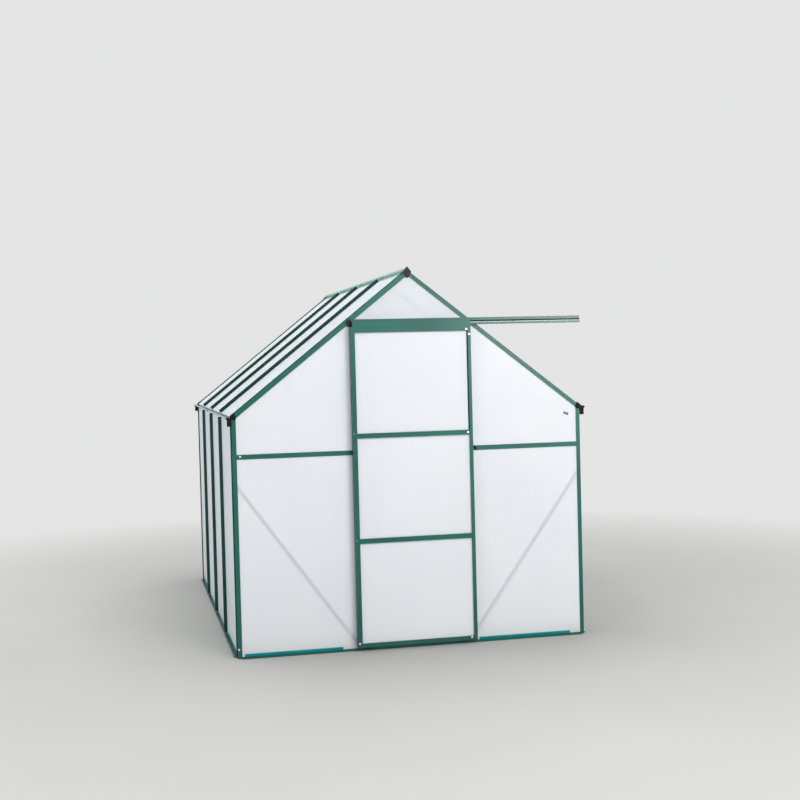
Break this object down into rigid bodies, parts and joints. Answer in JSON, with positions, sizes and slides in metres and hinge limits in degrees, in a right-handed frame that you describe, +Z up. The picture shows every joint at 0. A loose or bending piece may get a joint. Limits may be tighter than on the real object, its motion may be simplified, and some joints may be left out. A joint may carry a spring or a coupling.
{
  "type": "greenhouse",
  "caption": "Small walk-in garden greenhouse: green aluminium bars, milky twin-wall sheets, gable roof with gutters, and a sliding door hung from a track.",
  "frame": {"origin": "on the ground, at the middle of the overall width and length", "axes": "+X across, to the right of someone who faces the door; +Y from the door gable to the back gable, along the ridge; +Z up"},
  "size_m": [1.9126, 2.628, 1.9717],
  "materials": {
    "green_frame": "satin powder coat on aluminium",
    "twin_wall_sheet": "milky twin-wall polycarbonate with fine upright flutes",
    "black_plastic": "moulded",
    "teal_strip": "plain",
    "bare_metal": "mill finish"
  },
  "bodies": {
    "frame": {"back_apex_sheet": "twin_wall_sheet", "back_braces": "green_frame", "back_header": "green_frame", "back_posts": "green_frame", "back_sheets_lower": "twin_wall_sheet", "back_sheets_upper": "twin_wall_sheet", "base_rail_back": "green_frame", "base_rail_front": "green_frame", "base_rails_side": "green_frame", "corner_posts_back": "green_frame", "corner_posts_front": "green_frame", "cross_rails_back": "green_frame", "cross_rails_front": "green_frame", "door_header": "green_frame", "door_posts": "green_frame", "door_track": "green_frame", "eave_beams": "green_frame", "eave_caps": "black_plastic", "front_apex_sheet": "twin_wall_sheet", "front_braces": "green_frame", "front_sheets_lower": "twin_wall_sheet", "front_sheets_upper": "twin_wall_sheet", "gable_rafters_back": "green_frame", "gable_rafters_front": "green_frame", "gutters": "green_frame", "ridge_beam": "green_frame", "ridge_caps": "black_plastic", "roof_bars": "green_frame", "roof_sheets_left": "twin_wall_sheet", "roof_sheets_right": "twin_wall_sheet", "sill_strips": "teal_strip", "track_end_plug": "black_plastic", "track_stop": "bare_metal", "wall_sheets_left": "twin_wall_sheet", "wall_sheets_right": "twin_wall_sheet", "wall_studs": "green_frame"},
    "door": {"door_bottom_rail": "green_frame", "door_guides": "black_plastic", "door_mid_rails": "green_frame", "door_rollers": "black_plastic", "door_sheets": "twin_wall_sheet", "door_stiles": "green_frame", "door_top_rail": "green_frame"}
  },
  "joints": [
    {"name": "door_slide", "type": "slide", "parent": "frame", "child": "door", "axis": [1, 0, 0], "range_m": [0, 0.6]}
  ]
}
